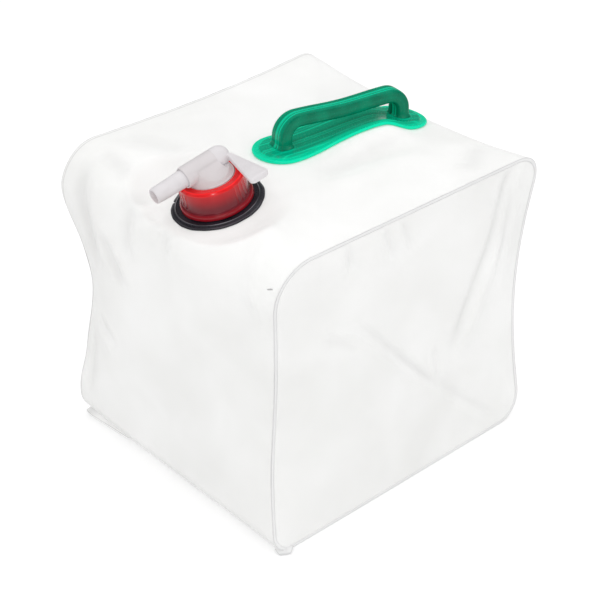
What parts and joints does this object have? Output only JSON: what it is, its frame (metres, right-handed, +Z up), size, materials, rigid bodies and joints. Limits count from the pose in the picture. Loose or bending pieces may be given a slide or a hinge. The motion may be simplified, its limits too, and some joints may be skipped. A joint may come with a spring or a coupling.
{
  "type": "collapsible water carrier",
  "caption": "Collapsible cube-shaped water carrier of soft frosted film with a screw-on turning tap and a moulded carrying handle on its top.",
  "frame": {"origin": "middle of the flat base sheet's underside, on the floor", "axes": "+Z up, the spout points to -Y, the lever to +X when the tap is shut; the side panels are at -X and +X"},
  "size_m": [0.236, 0.2665, 0.2672],
  "materials": {
    "film": "frosted translucent polyethylene film",
    "seam": "double film, heat welded",
    "black_plastic": "satin black polyethylene",
    "red_plastic": "glossy moulded polypropylene",
    "milky_plastic": "milky natural polyethylene, satin",
    "foam": "soft grey washer",
    "green_plastic": "glossy moulded polyethylene with fine flow streaks"
  },
  "bodies": {
    "root": {"base_sheet": "film", "front_wall": "film", "back_wall": "film", "left_panel": "film", "right_panel": "film", "left_seam": "seam", "right_seam": "seam"},
    "top": {"top_sheet": "film", "neck_flange": "black_plastic", "handle_plate": "green_plastic", "handle_grip": "green_plastic"},
    "tap": {"tap_body": "milky_plastic", "gasket": "foam"},
    "ring": {"screw_ring": "red_plastic"},
    "rotor": {"tap_rotor": "milky_plastic"}
  },
  "joints": [
    {"name": "bag_collapse", "type": "slide", "parent": "root", "child": "top", "axis": [0, 0, -1], "range_m": [0, 0.165], "deforming": ["front_wall", "back_wall", "left_panel", "right_panel", "left_seam", "right_seam"]},
    {"name": "cap_lift", "type": "slide", "parent": "top", "child": "tap", "axis": [-0.051, -0.225, 0.973], "range_m": [0, 0.012]},
    {"name": "ring_turn", "type": "hinge", "parent": "tap", "child": "ring", "pos_m": [0.009, -0.0845, 0.226], "axis": [-0.051, -0.225, 0.973], "range_deg": [0, 1080]},
    {"name": "tap_turn", "type": "hinge", "parent": "tap", "child": "rotor", "pos_m": [0.00736, -0.09174, 0.25733], "axis": [-0.0579, -0.972, -0.2277], "range_deg": [0, 90]}
  ],
  "couplings": [
    {"joint": "ring_turn", "follows": "cap_lift", "rad_per_m": 1570.8}
  ]
}
